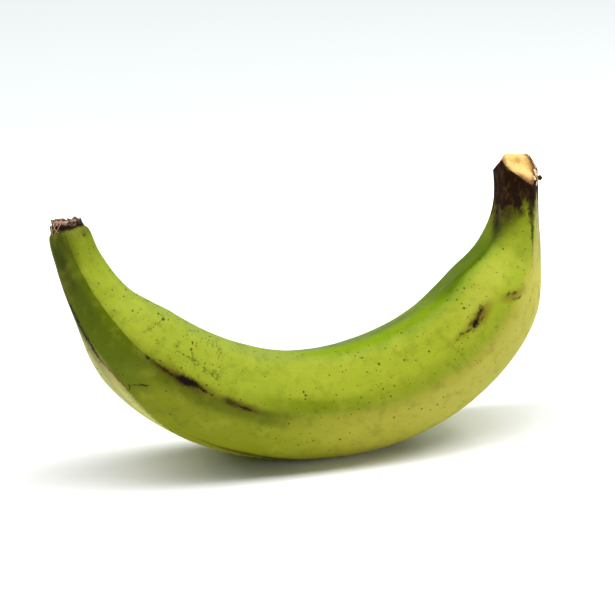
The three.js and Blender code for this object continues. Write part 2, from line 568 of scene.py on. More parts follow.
class Graph:
    """A new material with a Principled shader, and the one way to add nodes to it."""

    def __init__(self, name: str) -> None:
        """Start an empty material.

        Args:
            name: The material's name.
        """
        self.material = bpy.data.materials.new(name)
        self.material.use_nodes = True
        self.tree = self.material.node_tree
        self.tree.nodes.clear()

    def node(
        self,
        kind: str,
        settings: dict[str, object] | None = None,
        sockets: dict[int | str, object] | None = None,
        output: int | str | None = 0,
    ) -> Signal | None:
        """Add a node.

        Args:
            kind: The node's type.
            settings: Its own properties, set first. "stops" are a ramp's (place, colour) pairs.
            sockets: A value or a signal for each input that differs from its default.
            output: Which output to return, or None if it has none.

        Returns:
            The output as a signal.
        """
        node = self.tree.nodes.new(kind)
        for key, value in (settings or {}).items():
            if key == "stops":
                self._set_stops(node.color_ramp, value)
            else:
                setattr(node, key, value)
        for key, value in (sockets or {}).items():
            if isinstance(value, Signal):
                self.tree.links.new(value.socket, node.inputs[key])
            else:
                node.inputs[key].default_value = value
        return None if output is None else Signal(self, node.outputs[output])

    @staticmethod
    def _set_stops(ramp: bpy.types.ColorRamp, stops: Sequence[tuple[float, Colour]]) -> None:
        """Give a colour ramp its stops.

        Args:
            ramp: The ramp.
            stops: The place and colour of each stop.
        """
        while len(ramp.elements) < len(stops):
            ramp.elements.new(1.0)
        for element, (place, colour) in zip(ramp.elements, stops):
            element.position = place
            element.color = (*colour, 1.0)

    def math(self, operation: str, a: "Signal | float", b: "Signal | float") -> Signal:
        """One Math node on two values."""
        return self.node("ShaderNodeMath", {"operation": operation}, {0: a, 1: b})

    def mix(self, share: "Signal | float", a: "Signal | Colour", b: "Signal | Colour") -> Signal:
        """Blend two colours: a where share is 0, b where it is 1."""
        a, b = (c if isinstance(c, Signal) else (*c, 1.0) for c in (a, b))
        return self.node("ShaderNodeMix", {"data_type": "RGBA"}, {0: share, 6: a, 7: b}, 2)

    def stored(self, name: str, output: str = "Vector") -> Signal:
        """What the mesh stores under this name."""
        return self.node("ShaderNodeAttribute", {"attribute_name": name}, None, output)

    def part(self, vector: Signal, axis: str) -> Signal:
        """One number of a vector."""
        return self.node("ShaderNodeSeparateXYZ", None, {0: vector}, axis)

    def scaled(self, vector: Signal, factors: tuple[float, float, float]) -> Signal:
        """A vector with each number multiplied."""
        return self.node("ShaderNodeVectorMath", {"operation": "MULTIPLY"}, {0: vector, 1: factors})

    def cloud(
        self, vector: Signal, grain: float, detail: float = 2.0, rough: float = 0.5
    ) -> Signal:
        """Noise from about 0.2 to 0.8 with lumps of this size, in the vector's units."""
        sockets = {"Vector": vector, "Scale": 1 / grain, "Detail": detail, "Roughness": rough}
        return self.node("ShaderNodeTexNoise", None, sockets)

    def relief(self, height: Signal, depth: float) -> Signal:
        """The normal of fine relief, where a height of 1 is this deep in millimetres."""
        return self.node("ShaderNodeBump", None, {"Height": height, "Distance": depth * MM})

    def finish(
        self, constants: dict[str, float], varied: dict[str, Signal]
    ) -> bpy.types.Material:
        """Close the graph with a Principled shader.

        Args:
            constants: Values that are the same all over, by socket.
            varied: Signals, by socket.

        Returns:
            The material.
        """
        shader = self.node("ShaderNodeBsdfPrincipled", None, {**constants, **varied})
        self.node("ShaderNodeOutputMaterial", None, {"Surface": shader}, None)
        return self.material


def srgb(red: int, green: int, blue: int) -> Colour:
    """A colour given the way a painter's chart gives it, 0 to 255, as linear values."""
    return tuple(
        c / 12.92 if (c := v / 255) <= 0.04045 else ((c + 0.055) / 1.055) ** 2.4
        for v in (red, green, blue)
    )


# ------------------------------------------------------------------ marks on the peel


class MarkKind(Enum):
    """What a mark on the peel is."""

    BRUISE = "bruise"
    STAIN = "stain"
    DEEP = "deep"
    PALE = "pale"
    RUST = "rust"
    # A painted highlight along a ridge's crest.
    CREST = "crest"


@dataclass(frozen=True)
class Mark:
    """One mark on the peel, a soft-edged oval or line between two places.

    Attributes:
        kind: What it is.
        start: Share and angle where it starts.
        end: Share and angle where it ends.
        width: Width in millimetres.
        strength: 1 hides the peel's own colour.
        soft: How far its edge blurs, as a share of its width.
    """

    kind: MarkKind
    start: tuple[float, float]
    end: tuple[float, float]
    width: float
    strength: float = 1.0
    soft: float = 0.35

    def mask(self, graph: Graph, flat: Signal, form: FruitForm) -> Signal:
        """Add the nodes that draw this mark.

        Args:
            graph: The peel's graph.
            flat: The peel laid flat, in millimetres along and round.
            form: The fruit's form, to turn shares and angles into millimetres.

        Returns:
            Its strength at each place.
        """
        a, b = (laid_flat(form, *place) for place in (self.start, self.end))
        middle, reach = (a + b) / 2, b - a
        size = (np.linalg.norm(reach) / 2 + self.width / 2, self.width / 2, 1.0)
        turn = math.atan2(reach[1], reach[0]) if np.any(reach) else 0.0
        local = graph.node(
            "ShaderNodeMapping",
            {"vector_type": "TEXTURE"},
            {"Vector": flat, "Location": (*middle, 0.0), "Rotation": (0.0, 0.0, turn), "Scale": size},
        )
        away = graph.node("ShaderNodeVectorMath", {"operation": "LENGTH"}, {0: local}, "Value")
        return away.step(1 + self.soft, 1 - self.soft) * self.strength


def laid_flat(form: FruitForm, share: float, angle: float) -> np.ndarray:
    """Roll the peel out flat.

    Args:
        form: The fruit's form.
        share: Share of the length.
        angle: Angle round the section.

    Returns:
        How far along and round the place lies, in millimetres.
    """
    at = np.array(share)
    turn = float(form.turn(at, np.array(angle)))
    return np.array([share * form.length, math.radians(turn) * float(form.girth_at(at))])


MARKS = (
    # The long bruise on the lower front ridge, and the smaller one that follows it.
    Mark(MarkKind.BRUISE, (0.252, -3.5), (0.270, -2.5), 3.4, 1.0, 0.5),
    Mark(MarkKind.BRUISE, (0.264, -2), (0.281, -1.5), 2.0, 1.0, 0.6),
    Mark(MarkKind.BRUISE, (0.279, -2), (0.297, -3), 0.9, 0.8, 0.6),
    Mark(MarkKind.BRUISE, (0.214, -5), (0.254, -4.2), 1.1, 0.75, 0.7),
    Mark(MarkKind.BRUISE, (0.1995, -5), (0.204, -5.4), 1.1, 0.85),
    Mark(MarkKind.BRUISE, (0.303, -3), (0.304, -3), 1.2, 0.6),
    Mark(MarkKind.BRUISE, (0.324, -3.2), (0.337, -5), 1.9, 0.6, 0.8),
    Mark(MarkKind.BRUISE, (0.341, -5), (0.364, -7), 1.1, 0.85, 0.5),
    Mark(MarkKind.STAIN, (0.206, -5), (0.305, -3), 4.4, 0.5, 0.8),
    Mark(MarkKind.RUST, (0.228, -3.5), (0.292, -2), 3.6, 0.75, 0.8),
    Mark(MarkKind.STAIN, (0.316, -3), (0.372, -6), 3.6, 0.4, 0.8),
    Mark(MarkKind.RUST, (0.318, -3), (0.366, -6), 2.8, 0.6, 0.9),
    # A thin forked scratch under them.
    Mark(MarkKind.BRUISE, (0.2110, -45), (0.2165, -49), 0.6, 0.8),
    Mark(MarkKind.BRUISE, (0.2110, -45), (0.221, -36), 0.45, 0.7),
    Mark(MarkKind.BRUISE, (0.2200, -35.5), (0.228, -30), 0.75, 0.85),
    # The blotched bruise on the stem half, with its trail.
    Mark(MarkKind.BRUISE, (0.747, 20.5), (0.759, 20), 1.5, 0.9, 0.7),
    Mark(MarkKind.BRUISE, (0.729, 15.5), (0.739, 16.5), 2.2, 1.0, 0.6),
    Mark(MarkKind.BRUISE, (0.738, 18), (0.750, 18.5), 1.3, 0.85, 0.7),
    Mark(MarkKind.BRUISE, (0.724, 19), (0.732, 19.5), 0.9, 0.7, 0.7),
    Mark(MarkKind.BRUISE, (0.714, 16.5), (0.721, 16), 1.2, 0.8, 0.7),
    Mark(MarkKind.BRUISE, (0.704, 18.5), (0.710, 18), 1.0, 0.7, 0.7),
    Mark(MarkKind.BRUISE, (0.745, 13.5), (0.750, 14), 0.9, 0.7, 0.7),
    Mark(MarkKind.BRUISE, (0.757, 23.5), (0.763, 23), 0.8, 0.7, 0.7),
    Mark(MarkKind.BRUISE, (0.722, 12.5), (0.724, 12.5), 0.7, 0.6, 0.7),
    Mark(MarkKind.BRUISE, (0.693, 17), (0.697, 17), 0.8, 0.5, 0.7),
    Mark(MarkKind.RUST, (0.730, 17.5), (0.764, 17.5), 4.6, 0.8, 0.8),
    Mark(MarkKind.RUST, (0.692, 17.5), (0.735, 17), 2.8, 0.45, 0.9),
    Mark(MarkKind.BRUISE, (0.8035, -9), (0.808, -11), 0.9, 0.85, 0.7),
    Mark(MarkKind.BRUISE, (0.799, -3), (0.803, -7), 0.7, 0.6, 0.9),
    Mark(MarkKind.BRUISE, (0.806, -1), (0.809, -3), 1.2, 0.85, 0.7),
    Mark(MarkKind.BRUISE, (0.800, 5), (0.803, 4), 0.9, 0.7, 0.7),
    Mark(MarkKind.RUST, (0.794, 4), (0.812, -8), 3.4, 0.6, 0.9),
    # Dark edge of the facet that it rests on, with the paler peel of that facet below it and a
    # painted highlight along the ridge's crest.
    Mark(MarkKind.PALE, (0.150, -67), (0.300, -86), 12.5, 0.95, 0.14),
    # Painted highlight along the crest of the ridge above the pale facet.
    Mark(MarkKind.CREST, (0.188, -56), (0.285, -67), 1.7, 0.85, 0.6),
    Mark(MarkKind.BRUISE, (0.088, -67), (0.135, -60), 1.0, 0.85, 0.6),
    Mark(MarkKind.BRUISE, (0.130, -60.5), (0.172, -53), 1.3, 0.9, 0.6),
    Mark(MarkKind.RUST, (0.170, -52), (0.215, -50), 1.0, 0.8, 0.6),
    Mark(MarkKind.RUST, (0.318, -58), (0.375, -62), 0.9, 0.6, 0.6),
    Mark(MarkKind.STAIN, (0.345, -59), (0.440, -65), 2.2, 0.85, 0.6),
    Mark(MarkKind.STAIN, (0.06, -68), (0.175, -57), 3.4, 0.6, 0.7),
    # Greyed peel below the blossom scar.
    Mark(MarkKind.STAIN, (0.010, -40), (0.036, -22), 2.6, 0.6, 0.8),
    Mark(MarkKind.STAIN, (0.012, -8), (0.050, -12), 2.4, 0.35, 0.9),
    Mark(MarkKind.BRUISE, (0.0200, 35), (0.0205, 35), 0.9, 0.7, 0.6),
    # Deep green line down the upper front ridge from the neck.
    Mark(MarkKind.DEEP, (0.905, 52), (0.860, 56), 2.2, 0.8, 0.8),
    Mark(MarkKind.DEEP, (0.862, 56), (0.805, 65), 2.4, 0.75, 0.8),
    Mark(MarkKind.DEEP, (0.810, 64), (0.745, 80), 2.6, 0.5, 0.9),
    # Dark line and patches that run down from the dried stem.
    Mark(MarkKind.BRUISE, (0.955, -15), (0.915, -19), 1.9, 0.95, 0.6),
    Mark(MarkKind.BRUISE, (0.920, -18.5), (0.888, -20), 1.0, 0.85, 0.7),
    Mark(MarkKind.STAIN, (0.895, -20), (0.868, -21), 1.0, 0.6, 0.8),
    Mark(MarkKind.BRUISE, (0.929, 90), (0.899, 68), 6.4, 1.0, 0.8),
    Mark(MarkKind.BRUISE, (0.934, 38), (0.914, 40), 2.6, 0.8, 0.9),
    Mark(MarkKind.BRUISE, (0.905, 64), (0.902, 50), 1.6, 0.7, 0.9),
    Mark(MarkKind.STAIN, (0.940, 70), (0.900, 60), 9.0, 0.75, 0.9),
)


# ------------------------------------------------------------------ finishes


@dataclass(frozen=True)
class Tint:
    """A part of the peel with a colour of its own, or with painted shade or a painted highlight.

    Attributes:
        colour: Its colour.
        shares: Where along the fruit it starts and ends.
        turns: Where round the fruit it starts and ends, measured from the lower front ridge.
        strength: 1 hides what is under it.
        fade: How softly it ends along the fruit, as a share of the length.
        blur: How softly it ends round the fruit, in degrees.
    """

    colour: Colour
    shares: tuple[float, float]
    turns: tuple[float, float]
    strength: float = 1.0
    fade: float = 0.05
    blur: float = 7.0

    def over(
        self, graph: Graph, base: "Signal | Colour", share: Signal, turn: Signal
    ) -> Signal:
        """Lay this tint over a colour.

        Args:
            graph: The peel's graph.
            base: The colour so far.
            share: Share of the length.
            turn: Angle from the lower front ridge.

        Returns:
            The new colour.
        """
        mask = share.between(*self.shares, self.fade) * turn.between(*self.turns, self.blur)
        return graph.mix(mask * self.strength, base, self.colour)


TINTS = (
    # The facets, from the inside of the curve down the front.
    Tint(srgb(120, 147, 8), (-0.2, 1.2), (54, 140), 0.95, 0.05, 9),
    Tint(srgb(84, 106, 0), (0.72, 0.90), (61, 130), 0.9, 0.04, 6),
    Tint(srgb(74, 92, 22), (0.22, 0.70), (79, 118), 0.6, 0.06, 12),
    Tint(srgb(160, 171, 40), (0.43, 0.90), (16, 49), 0.9, 0.09, 7),
    Tint(srgb(178, 183, 62), (0.72, 0.83), (22, 46), 0.8, 0.035, 7),
    Tint(srgb(138, 149, 24), (0.40, 0.70), (2, 14), 0.5, 0.07, 8),
    Tint(srgb(140, 152, 60), (0.12, 0.44), (54, 70), 0.75, 0.05, 6),
    Tint(srgb(118, 134, 8), (0.38, 0.50), (0, 15), 0.7, 0.04, 5),
    Tint(srgb(152, 158, 28), (0.20, 0.95), (-75, -2), 1.0, 0.05, 3.5),
    Tint(srgb(170, 167, 54), (0.46, 0.90), (-75, -3), 1.0, 0.07, 5),
    Tint(srgb(178, 173, 68), (0.60, 0.87), (-62, -14), 0.8, 0.05, 8),
    Tint(srgb(106, 116, 2), (0.19, 0.43), (-19, 0), 0.95, 0.03, 4),
    # The lower facet at the tip, darker green partly of its own and partly as painted shade, below a
    # crisp edge with a painted highlight along its crest.
    # Painted highlight along the crest of the lower front ridge near the tip.
    Tint(srgb(154, 166, 44), (0.05, 0.20), (0, 6), 0.7, 0.03, 2),
    # Darker green on the lower facet of the tip half: partly the peel's own colour, partly painted
    # shade.
    Tint(srgb(134, 142, 18), (0.17, 0.42), (-75, -14), 0.8, 0.05, 5),
    Tint(srgb(96, 112, 2), (-0.2, 0.22), (-72, -1.2), 1.0, 0.045, 1.2),
    Tint(srgb(80, 94, 0), (-0.2, 0.145), (-72, -17), 0.85, 0.04, 9),
    Tint(srgb(50, 56, 0), (0.018, 0.085), (-66, -30), 0.8, 0.02, 9),
    # The rest: the back is plain, and the facet that it rests on is paler.
    Tint(srgb(160, 166, 60), (0.10, 0.90), (-138, -76), 0.8, 0.06, 5),
    # The ends.
    Tint(srgb(114, 128, 6), (-0.2, 0.055), (0, 180), 0.75, 0.04, 2),
    Tint(srgb(104, 120, 4), (0.885, 1.2), (20, 200), 0.9, 0.03, 14),
    Tint(srgb(134, 146, 30), (0.87, 1.2), (-12, 24), 0.8, 0.03, 8),
    Tint(srgb(138, 130, 68), (0.88, 1.2), (-180, -12), 0.9, 0.03, 5),
)


@dataclass(frozen=True)
class PeelFinish:
    """Satin green peel: facets of different green, some with painted shade or painted highlights,
    mottling, specks, marks and dried ends.
    """

    body: Colour = srgb(154, 167, 40)
    deep: Colour = srgb(72, 92, 4)
    yellow: Colour = srgb(184, 184, 60)
    speck: Colour = srgb(58, 58, 2)
    bruise: Colour = srgb(20, 12, 3)
    stain: Colour = srgb(70, 62, 8)
    rust: Colour = srgb(112, 78, 12)
    pale: Colour = srgb(190, 188, 118)
    # Colour of the painted highlight along a ridge's crest.
    crest: Colour = srgb(214, 212, 118)
    dried: Colour = srgb(34, 18, 5)
    dried_brown: Colour = srgb(72, 46, 20)
    roughness: float = 0.5
    shine: float = 0.1

    def material(self, form: FruitForm) -> bpy.types.Material:
        """Build the peel's material.

        Args:
            form: The fruit's form, which places the marks.

        Returns:
            The material.
        """
        g = Graph("peel")
        where = g.stored("peel_map")
        share, turn, radius = (g.part(where, axis) for axis in "XYZ")
        unbent = g.stored("unbent")
        flat = self._flat(g, share, turn, radius, unbent, form)

        colour = self._greens(g, share, turn, unbent)
        masks = self._masks(g, flat, form)
        colour = g.mix(masks[MarkKind.PALE], colour, self.pale)
        # Painted highlight along a ridge's crest.
        colour = g.mix(masks[MarkKind.CREST], colour, self.crest)
        specks = self._specks(g, share, turn, unbent)
        colour = g.mix(specks, colour, self.speck)
        colour = g.mix(masks[MarkKind.DEEP], colour, self.deep)
        colour = g.mix(masks[MarkKind.RUST], colour, self.rust)
        colour = g.mix(masks[MarkKind.STAIN], colour, self.stain)
        colour = g.mix(masks[MarkKind.BRUISE], colour, self.bruise)
        scorched, dried = self._dried(g, share, turn, unbent)
        colour = g.mix(scorched, colour, self.stain)
        streaky = g.cloud(g.scaled(unbent, (0.6, 1.0, 1.0)), 2.8, 4, 0.6)
        colour = g.mix(dried, colour, g.mix(streaky.step(0.5, 0.72), self.dried, self.dried_brown))

        # The relief leaves the marks out: a Bump node repeats its height's nodes three times,
        # and with the marks among them the peel renders black.
        streaks = g.cloud(g.scaled(unbent, (0.08, 1.0, 1.0)), 1.2, 3)
        pores = g.cloud(unbent, 0.6, 2)
        height = streaks * 0.15 + pores * 0.35
        dull = masks[MarkKind.BRUISE] * 0.2 + dried * 0.45 + g.cloud(unbent, 9, 3) * 0.16
        return g.finish(
            {"Specular IOR Level": self.shine},
            {
                "Base Color": colour,
                "Roughness": dull + (self.roughness - 0.08),
                "Normal": g.relief(height + dried * streaks * 0.7, 0.25),
            },
        )

    @staticmethod
    def _flat(
        g: Graph, share: Signal, turn: Signal, radius: Signal, unbent: Signal, form: FruitForm
    ) -> Signal:
        """Lay the peel flat, shaken a little so that the marks on it get ragged edges.

        Args:
            g: The peel's graph.
            share: Share of the length.
            turn: Angle from the lower front ridge.
            radius: The section's mean radius.
            unbent: Places on the straightened fruit.
            form: The fruit's form.

        Returns:
            How far along and round each place lies, in millimetres.
        """
        along = share * form.length
        around = turn * radius * math.radians(1)
        flat = g.node("ShaderNodeCombineXYZ", None, {0: along, 1: around})
        shake = {"Vector": unbent, "Scale": 1 / 1.3, "Detail": 4.0, "Roughness": 0.65}
        wobble = g.node("ShaderNodeTexNoise", None, shake, "Color")
        minus = {"operation": "SUBTRACT"}
        centred = g.node("ShaderNodeVectorMath", minus, {0: wobble, 1: (0.5, 0.5, 0.5)})
        small = g.scaled(centred, (3.4, 2.4, 0.0))
        return g.node("ShaderNodeVectorMath", {"operation": "ADD"}, {0: flat, 1: small})

    def _greens(self, g: Graph, share: Signal, turn: Signal, unbent: Signal) -> Signal:
        """Mix the peel's own colour, before specks and marks.

        Args:
            g: The peel's graph.
            share: Share of the length.
            turn: Angle from the lower front ridge.
            unbent: Places on the straightened fruit.

        Returns:
            The colour.
        """
        patch = g.cloud(unbent, 14, 3)
        fine = g.cloud(unbent, 4.5, 4, 0.6)
        near_ridge = turn.between(-8, 8, 6) * -0.85 + 1
        swayed = turn + (patch - 0.5) * near_ridge * 14
        wandering = share + (g.cloud(unbent, 20, 2) - 0.5) * 0.08
        colour: Signal | Colour = self.body
        for tint in TINTS:
            colour = tint.over(g, colour, wandering, swayed)
        streaks = g.cloud(g.scaled(unbent, (0.07, 1.0, 1.0)), 2.0, 3)
        colour = g.mix(streaks.step(0.5, 0.85) * 0.14, colour, self.deep)
        colour = g.mix(fine.step(0.47, 0.72) * 0.26, colour, self.deep)
        bleached = g.cloud(unbent, 8, 4).step(0.50, 0.72) * (0.26 - turn.between(55, 145, 14) * 0.2)
        return g.mix(bleached, colour, self.yellow)

    @staticmethod
    def _specks(g: Graph, share: Signal, turn: Signal, unbent: Signal) -> Signal:
        """Scatter darkened pores in three sizes, crowded on the front facet, and worn squiggles.

        Args:
            g: The peel's graph.
            share: Share of the length.
            turn: Angle from the lower front ridge.
            unbent: Places on the straightened fruit.

        Returns:
            How strongly each place is darkened.
        """
        crowd = g.cloud(unbent, 24, 2).step(0.32, 0.62) + turn.between(3, 62, 12) * 0.55
        total: Signal | None = None
        for cell, largest, present, strength in (
            (6.0, 0.72, 0.45, 0.9),
            (3.0, 0.55, 0.55, 0.85),
            (1.7, 0.42, 0.6, 0.75),
        ):
            kind = {"voronoi_dimensions": "3D"}
            cells = {"Vector": unbent, "Scale": 1 / cell}
            away = g.node("ShaderNodeTexVoronoi", kind, cells, "Distance") * cell
            chance = g.part(g.node("ShaderNodeTexVoronoi", kind, cells, "Color"), "X")
            size = (chance - (1 - present)) * (largest / present) * (crowd * 0.6 + 0.35)
            dots = (size - away).step(-0.12, 0.14) * strength
            total = dots if total is None else total | dots
        worn = share.between(0.17, 0.33, 0.03) * turn.between(8, 56, 8)
        rings = g.cloud(unbent, 3.6, 4, 0.6).between(0.54, 0.58, 0.02)
        return total | rings * worn * g.cloud(unbent, 5, 3).step(0.48, 0.62) * 0.8

    @staticmethod
    def _masks(g: Graph, flat: Signal, form: FruitForm) -> dict[MarkKind, Signal]:
        """Draw all the marks.

        Args:
            g: The peel's graph.
            flat: The peel laid flat.
            form: The fruit's form.

        Returns:
            For each kind of mark, the mask of all its marks together.
        """
        masks: dict[MarkKind, Signal] = {}
        for mark in MARKS:
            drawn = mark.mask(g, flat, form)
            masks[mark.kind] = masks[mark.kind] | drawn if mark.kind in masks else drawn
        return masks

    @staticmethod
    def _dried(g: Graph, share: Signal, turn: Signal, unbent: Signal) -> tuple[Signal, Signal]:
        """Find where both ends of the peel have dried.

        Args:
            g: The peel's graph.
            share: Share of the length.
            turn: Angle from the lower front ridge.
            unbent: Places on the straightened fruit.

        Returns:
            The mask of the scorched peel, and that of the peel that has dried brown.
        """
        streaks = (g.cloud(g.scaled(unbent, (0.3, 1.0, 1.0)), 3.2, 4) - 0.5) * 0.07
        blots = (g.cloud(unbent, 3.5, 4) - 0.5) * 0.08
        reach = share + streaks + blots * 0.7 + turn.between(34, 150, 14) * 0.016
        scar = share + turn.between(-180, 0, 60) * 0.007 + blots * 0.15
        dried = reach.step(0.936, 0.955) | scar.step(0.012, 0.007)
        scorched = reach.step(0.908, 0.944) * 0.7 | scar.step(0.028, 0.010) * 0.55
        return scorched, dried


@dataclass(frozen=True)
class CutFinish:
    """The stem's pale fibrous core, browned towards its rim."""

    pale: Colour = srgb(228, 192, 116)
    straw: Colour = srgb(188, 146, 66)
    rust: Colour = srgb(104, 58, 22)

    def material(self) -> bpy.types.Material:
        """Build the cut's material.

        Returns:
            The material.
        """
        g = Graph("cut_stem")
        place = g.scaled(g.node("ShaderNodeTexCoord", None, None, "Object"), (1 / MM,) * 3)
        rim = g.stored("rim", "Fac")
        patch = g.cloud(place, 5, 4)
        strands = g.cloud(place, 0.7, 3)
        colour = g.mix(patch.step(0.35, 0.65), self.pale, self.straw)
        colour = g.mix(strands.step(0.55, 0.8) * 0.4, colour, self.straw)
        browned = (rim + (patch - 0.5) * 0.5).step(0.72, 1.02)
        colour = g.mix(browned, colour, self.rust)
        return g.finish(
            {"Roughness": 0.75, "Specular IOR Level": 0.25},
            {"Base Color": colour, "Normal": g.relief(strands + patch * 0.5, 0.25)},
        )


@dataclass(frozen=True)
class DriedFinish:
    """The dried flower: flaky, grey-brown to pinkish tan."""

    name: str = "dried_blossom"
    dark: Colour = srgb(34, 24, 18)
    middle: Colour = srgb(88, 66, 50)
    tan: Colour = srgb(196, 158, 134)
    lightness: float = 0.5

    def material(self) -> bpy.types.Material:
        """Build the dried flower's material.

        Returns:
            The material.
        """
        g = Graph(self.name)
        place = g.scaled(g.node("ShaderNodeTexCoord", None, None, "Object"), (1 / MM,) * 3)
        patch = g.cloud(place, 1.8, 4, 0.65) + (self.lightness - 0.5)
        stops = ((0.36, self.dark), (0.5, self.middle), (0.64, self.tan))
        colour = g.node("ShaderNodeValToRGB", {"stops": stops}, {0: patch})
        return g.finish(
            {"Roughness": 0.85, "Specular IOR Level": 0.2},
            {"Base Color": colour, "Normal": g.relief(g.cloud(place, 0.5, 4), 0.3)},
        )


# ------------------------------------------------------------------ the fruit's pieces


@dataclass(frozen=True)
class CutPlane:
    """One face of the stem's cut.

    Attributes:
        past: How far past the centreline's end it crosses the axis.
        tilt: Angle between its normal and the axis.
        towards: Angle round the section that its normal tilts towards.
    """

    past: float
    tilt: float
    towards: float

    def height(self, front: np.ndarray, inside: np.ndarray) -> np.ndarray:
        """Height of this face past the centreline's end.

        Args:
            front: Distance off the axis towards the front.
            inside: Distance off the axis towards the inside of the curve.

        Returns:
            Heights in millimetres.
        """
        towards = math.radians(self.towards)
        off = front * math.cos(towards) + inside * math.sin(towards)
        return self.past - off * math.tan(math.radians(self.tilt))


@dataclass
class StemEnd:
    """The neck's end: a slanted cut with a broken top, inside a rim of dried peel.

    The planes' numbers came out of other programs, a fit for the first of them, and were
    rounded. The first two were then moved.

    Attributes:
        form: The fruit's form.
        planes: The faces of the cut. The lowest one at each place is the surface.
        softness: How far the faces blend into each other.
        rim_width: Width of the rim of dried peel.
        neck_radius: The neck's radius, which turns widths on the cut into shares of it.
        sink: How far the rim's inner edge drops into the cut.
        sides: Points round each ring.
        face_rings: Rings across the core.
        core_depth: How deep the core's slab reaches under the cut.
    """

    form: FruitForm
    planes: Sequence[CutPlane] = (
        CutPlane(2.6, 55, -22),
        CutPlane(3.6, 10, -120),
        CutPlane(7.4, 48, 114),
    )
    softness: float = 0.3
    rim_width: float = 0.9
    neck_radius: float = 9.0
    sink: float = 0.7
    sides: int = 144
    face_rings: int = 36
    core_depth: float = 1.6

    @property
    def rim_share(self) -> float:
        """The rim's width as a share of the neck's radius."""
        return self.rim_width / self.neck_radius

    def height(self, front: np.ndarray, inside: np.ndarray) -> np.ndarray:
        """Height of the cut past the centreline's end, off the axis by so much.

        Args:
            front: Distance towards the front.
            inside: Distance towards the inside of the curve.

        Returns:
            Heights in millimetres, where the lowest of the faces wins and blends a little.
        """
        heights = [plane.height(front, inside) for plane in self.planes]
        total = sum(np.exp(-height / self.softness) for height in heights)
        return -self.softness * np.log(total)

    def rim_height(self, angle: np.ndarray) -> np.ndarray:
        """Height of the cut where it meets the peel.

        Args:
            angle: Angles round the stem.

        Returns:
            Heights in millimetres past the centreline's end.
        """
        radius = self.form.radius(np.ones_like(angle), angle)
        turn = np.radians(angle)
        return self.height(radius * np.cos(turn), radius * np.sin(turn))

    def level(self, angle: np.ndarray, inset: np.ndarray, lift: np.ndarray) -> np.ndarray:
        """Places on the cut.

        Args:
            angle: Angles round the stem.
            inset: Distance inside the peel's outer face, as a share of the radius from 0 to 1.
            lift: Height above the cut.

        Returns:
            Places in millimetres, in the part's frame.
        """
        form, kept = self.form, 1 - inset
        radius, turn = form.radius(np.ones_like(angle), angle), np.radians(angle)
        front, inside = radius * np.cos(turn), radius * np.sin(turn)
        height = self.height(front * kept, inside * kept) + lift
        straight = self._past_end(front * kept, inside * kept, height)
        rim = self.rim_height(angle)
        bent = form.place(1 + rim / form.length, angle, radius)
        return straight + (bent - self._past_end(front, inside, rim)) * (kept**2)[..., None]

    def _past_end(self, front: np.ndarray, inside: np.ndarray, height: np.ndarray) -> np.ndarray:
        """Places round the stem's axis, drawn straight on past the centreline's end.

        Args:
            front: Distance off the axis towards the front.
            inside: Distance off the axis towards the inside of the curve.
            height: Distance along the axis.

        Returns:
            Places in millimetres, in the part's frame.
        """
        end, tangent, inwards = self.form.axes(np.ones_like(height))
        off = front[..., None] * self.form.front + inside[..., None] * inwards
        return self.form.origin + end + tangent * height[..., None] + off

    def build_face(self, material: bpy.types.Material) -> bpy.types.Object:
        """Make the pale core that shows in the cut, a thin closed slab inside the rim.

        Args:
            material: Its finish.

        Returns:
            The piece.
        """
        angle = np.linspace(0, 360, self.sides, endpoint=False)
        edge = self.rim_share * 0.8
        insets = 1 - (1 - edge) * np.linspace(0.02, 1.0, self.face_rings) ** 0.8
        top = []
        for inset in insets:
            flat = self.level(angle, np.full_like(angle, inset), np.zeros_like(angle))
            fibres = 0.22 * fractal(flat, 1.1, 3, 5) + 0.35 * fractal(flat, 4.0, 2, 6)
            worn = -0.35 * smoothstep(1 - inset, 0.8, 1.0)
            top.append(self.level(angle, np.full_like(angle, inset), fibres + worn - 0.1))
        under = [
            self.level(angle, np.full_like(angle, inset), np.full_like(angle, -self.core_depth))
            for inset in (edge, 0.5, 0.98)
        ]
        loft = Loft.capped([*under[::-1], *top[::-1]])
        piece = make_piece("stem_cut_face", loft.points(), loft.faces(), material)
        shares = np.concatenate([[0.02, 0.5, 1.0], (1 - insets[::-1]) / (1 - edge)])
        rim = np.concatenate([np.repeat(shares, self.sides), [0.0, 0.0]])
        add_values(piece.data, "rim", "POINT", rim)
        return piece


